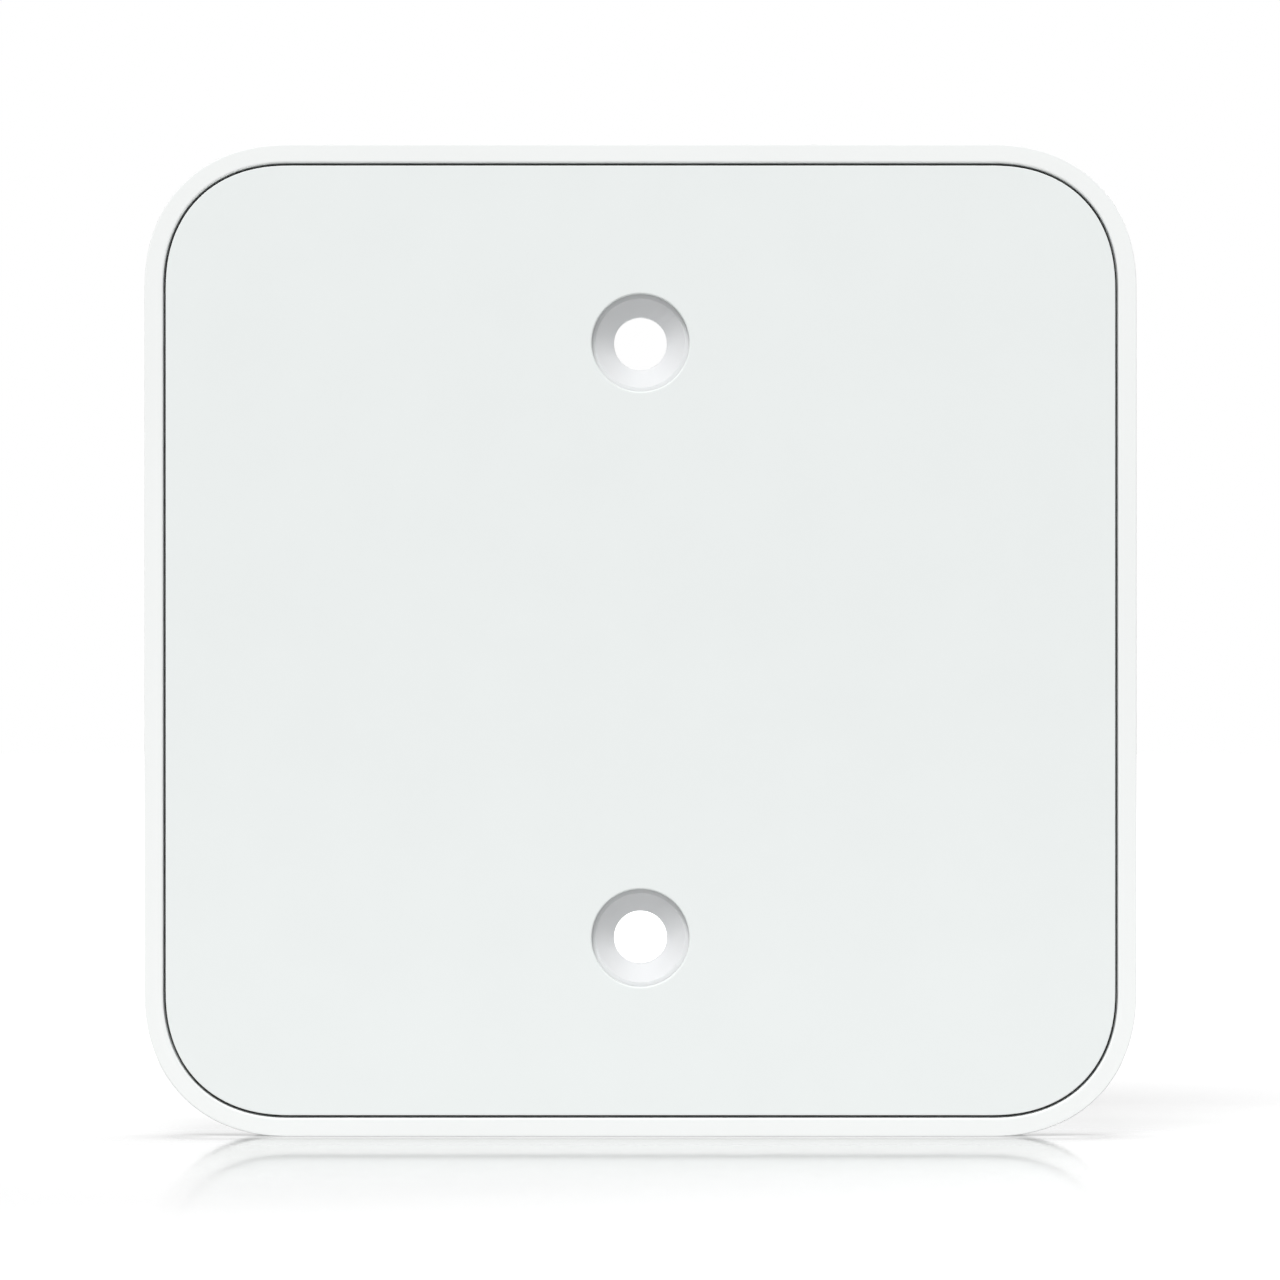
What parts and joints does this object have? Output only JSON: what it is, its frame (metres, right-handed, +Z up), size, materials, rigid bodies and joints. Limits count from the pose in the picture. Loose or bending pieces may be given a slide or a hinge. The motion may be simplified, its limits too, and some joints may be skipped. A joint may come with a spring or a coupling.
{
  "type": "access point mounting plate",
  "caption": "Square plate with soft corners that holds a compact access point on a ceiling or wall: flush grip pad over magnets, pressed steel back and countersunk screw holes.",
  "frame": {"origin": "middle of the back plate's raised pad, on the wall plane", "axes": "+X to the right seen from the front, +Y from the front into the wall, +Z up along the line of the two screw holes"},
  "size_m": [0.1, 0.009, 0.1],
  "materials": {
    "white_moulding": "fine spark texture, near-white",
    "pale_silicone": "matt moulded silicone, pale grey with a trace of green",
    "black_film": "matt black adhesive film",
    "zinc_steel": "zinc plated pressed sheet",
    "nickel": "bright nickel plate",
    "screw_steel": "dark zinc plated screw",
    "grey_foam": "closed-cell grey foam"
  },
  "bodies": {
    "root": {"rim_frame": "white_moulding", "magnet_tray": "white_moulding", "grip_pad": "pale_silicone", "pad_film": "black_film", "back_plate": "zinc_steel", "magnet_1": "nickel", "magnet_2": "nickel", "magnet_3": "nickel", "magnet_4": "nickel", "magnet_5": "nickel", "magnet_6": "nickel", "magnet_7": "nickel", "magnet_8": "nickel", "plate_screw_1": "screw_steel", "plate_screw_2": "screw_steel", "plate_screw_3": "screw_steel", "plate_screw_4": "screw_steel", "plate_screw_5": "screw_steel", "plate_screw_6": "screw_steel", "wall_strip_left": "grey_foam", "wall_strip_right": "grey_foam"}
  },
  "joints": []
}
